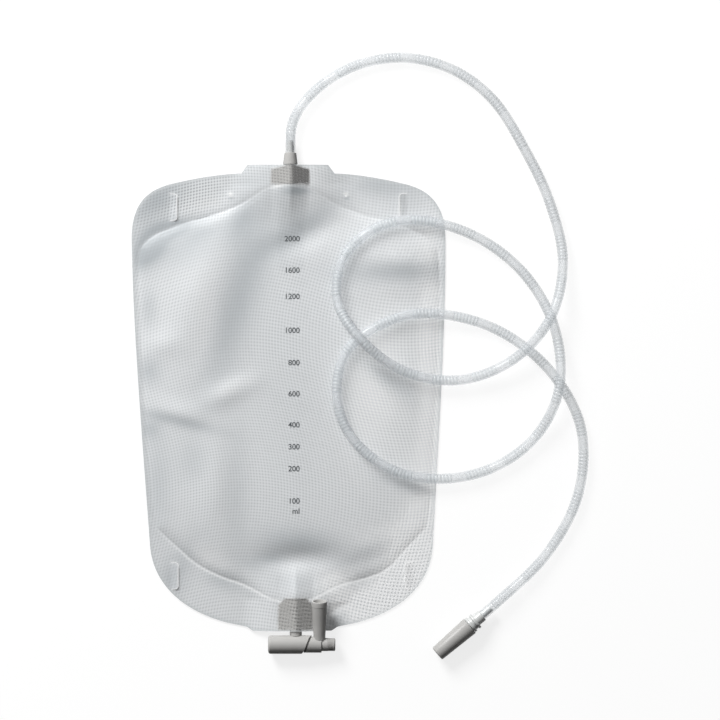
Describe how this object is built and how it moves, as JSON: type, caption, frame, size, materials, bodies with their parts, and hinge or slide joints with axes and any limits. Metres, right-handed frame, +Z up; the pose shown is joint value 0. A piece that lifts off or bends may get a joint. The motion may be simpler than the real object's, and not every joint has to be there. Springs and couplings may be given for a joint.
{
  "type": "urine drainage bag",
  "caption": "Two-litre drainage bag of embossed clear film lying flat, with a long looped inlet tube, a capped catheter connector and a swivelling drain tap.",
  "frame": {"origin": "on the surface that the bag lies on, under the middle of the bag with its ports and tap", "axes": "+Z up out of the printed front face, +Y from the drain tap to the inlet, +X to the side where the tube lies"},
  "size_m": [0.3172, 0.4203, 0.0222],
  "materials": {
    "clear_film": "clear soft vinyl film with a fine square net embossed in it",
    "valve_film": "thin smooth vinyl film",
    "grey_plastic": "moulded grey plastic, satin",
    "clear_tube": "clear soft tube, ribbed and smooth by turns",
    "white_plastic": "moulded white plastic",
    "seal_rubber": "black rubber"
  },
  "bodies": {
    "bag": {"front_film": "clear_film", "back_film": "clear_film", "inlet_port": "grey_plastic", "return_valve_back": "valve_film", "return_valve_front": "valve_film", "outlet_port": "grey_plastic", "tap_barrel": "grey_plastic", "drainage_tube": "clear_tube", "tube_connector": "white_plastic"},
    "spout": {"tap_spout": "grey_plastic", "spout_end_plug": "grey_plastic", "seal_ring_1": "seal_rubber", "seal_ring_2": "seal_rubber"},
    "cap": {"connector_cap": "grey_plastic"}
  },
  "joints": [
    {"name": "spout_turn", "type": "hinge", "parent": "bag", "child": "spout", "pos_m": [0, -0.1715, 0.0064], "axis": [1, 0, 0], "range_deg": [0, 168]},
    {"name": "cap_pull", "type": "slide", "parent": "bag", "child": "cap", "axis": [-0.7593, -0.6508, 0], "range_m": [0, 0.034]}
  ]
}
